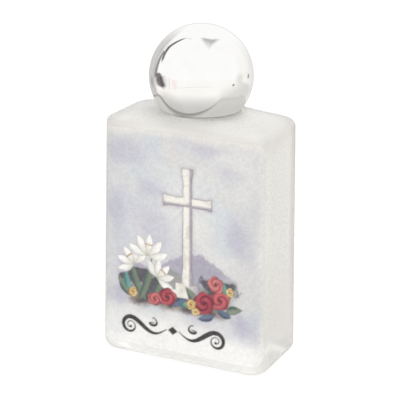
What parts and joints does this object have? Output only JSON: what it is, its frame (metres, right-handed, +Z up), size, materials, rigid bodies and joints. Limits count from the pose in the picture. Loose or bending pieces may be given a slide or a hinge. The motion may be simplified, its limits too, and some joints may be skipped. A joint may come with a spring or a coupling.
{
  "type": "holy water bottle",
  "caption": "Flat pocket flask of frosted glass with a sloped shoulder and printed front, closed by a silvered ball cap that screws onto its neck; holds holy water.",
  "frame": {"origin": "centre of the base, on the surface that the bottle stands on", "axes": "+Z up along the neck and the cap's screw axis, -Y out of the printed front, +X to the right of a viewer who faces the front"},
  "size_m": [0.0322, 0.018, 0.0596],
  "materials": {
    "frosted_glass": "satin",
    "print_ink": "satin",
    "foam_wad": "matte",
    "insert_plastic": "satin",
    "silvered_plastic": "polished"
  },
  "bodies": {
    "bottle": {"glass_bottle": "frosted_glass", "printed_transfer": "print_ink"},
    "seal": {"sealing_wad": "foam_wad"},
    "cap": {"cap_insert": "insert_plastic", "cap_shell": "silvered_plastic"}
  },
  "joints": [
    {"name": "cap_lift", "type": "slide", "parent": "bottle", "child": "seal", "axis": [0, 0, 1], "range_m": [0, 0.005]},
    {"name": "cap_turn", "type": "hinge", "parent": "seal", "child": "cap", "pos_m": [0, 0, 0.0506], "axis": [0, 0, 1], "range_deg": [0, 900]}
  ],
  "couplings": [
    {"joint": "cap_lift", "follows": "cap_turn", "m_per_rad": 0.0003183}
  ]
}
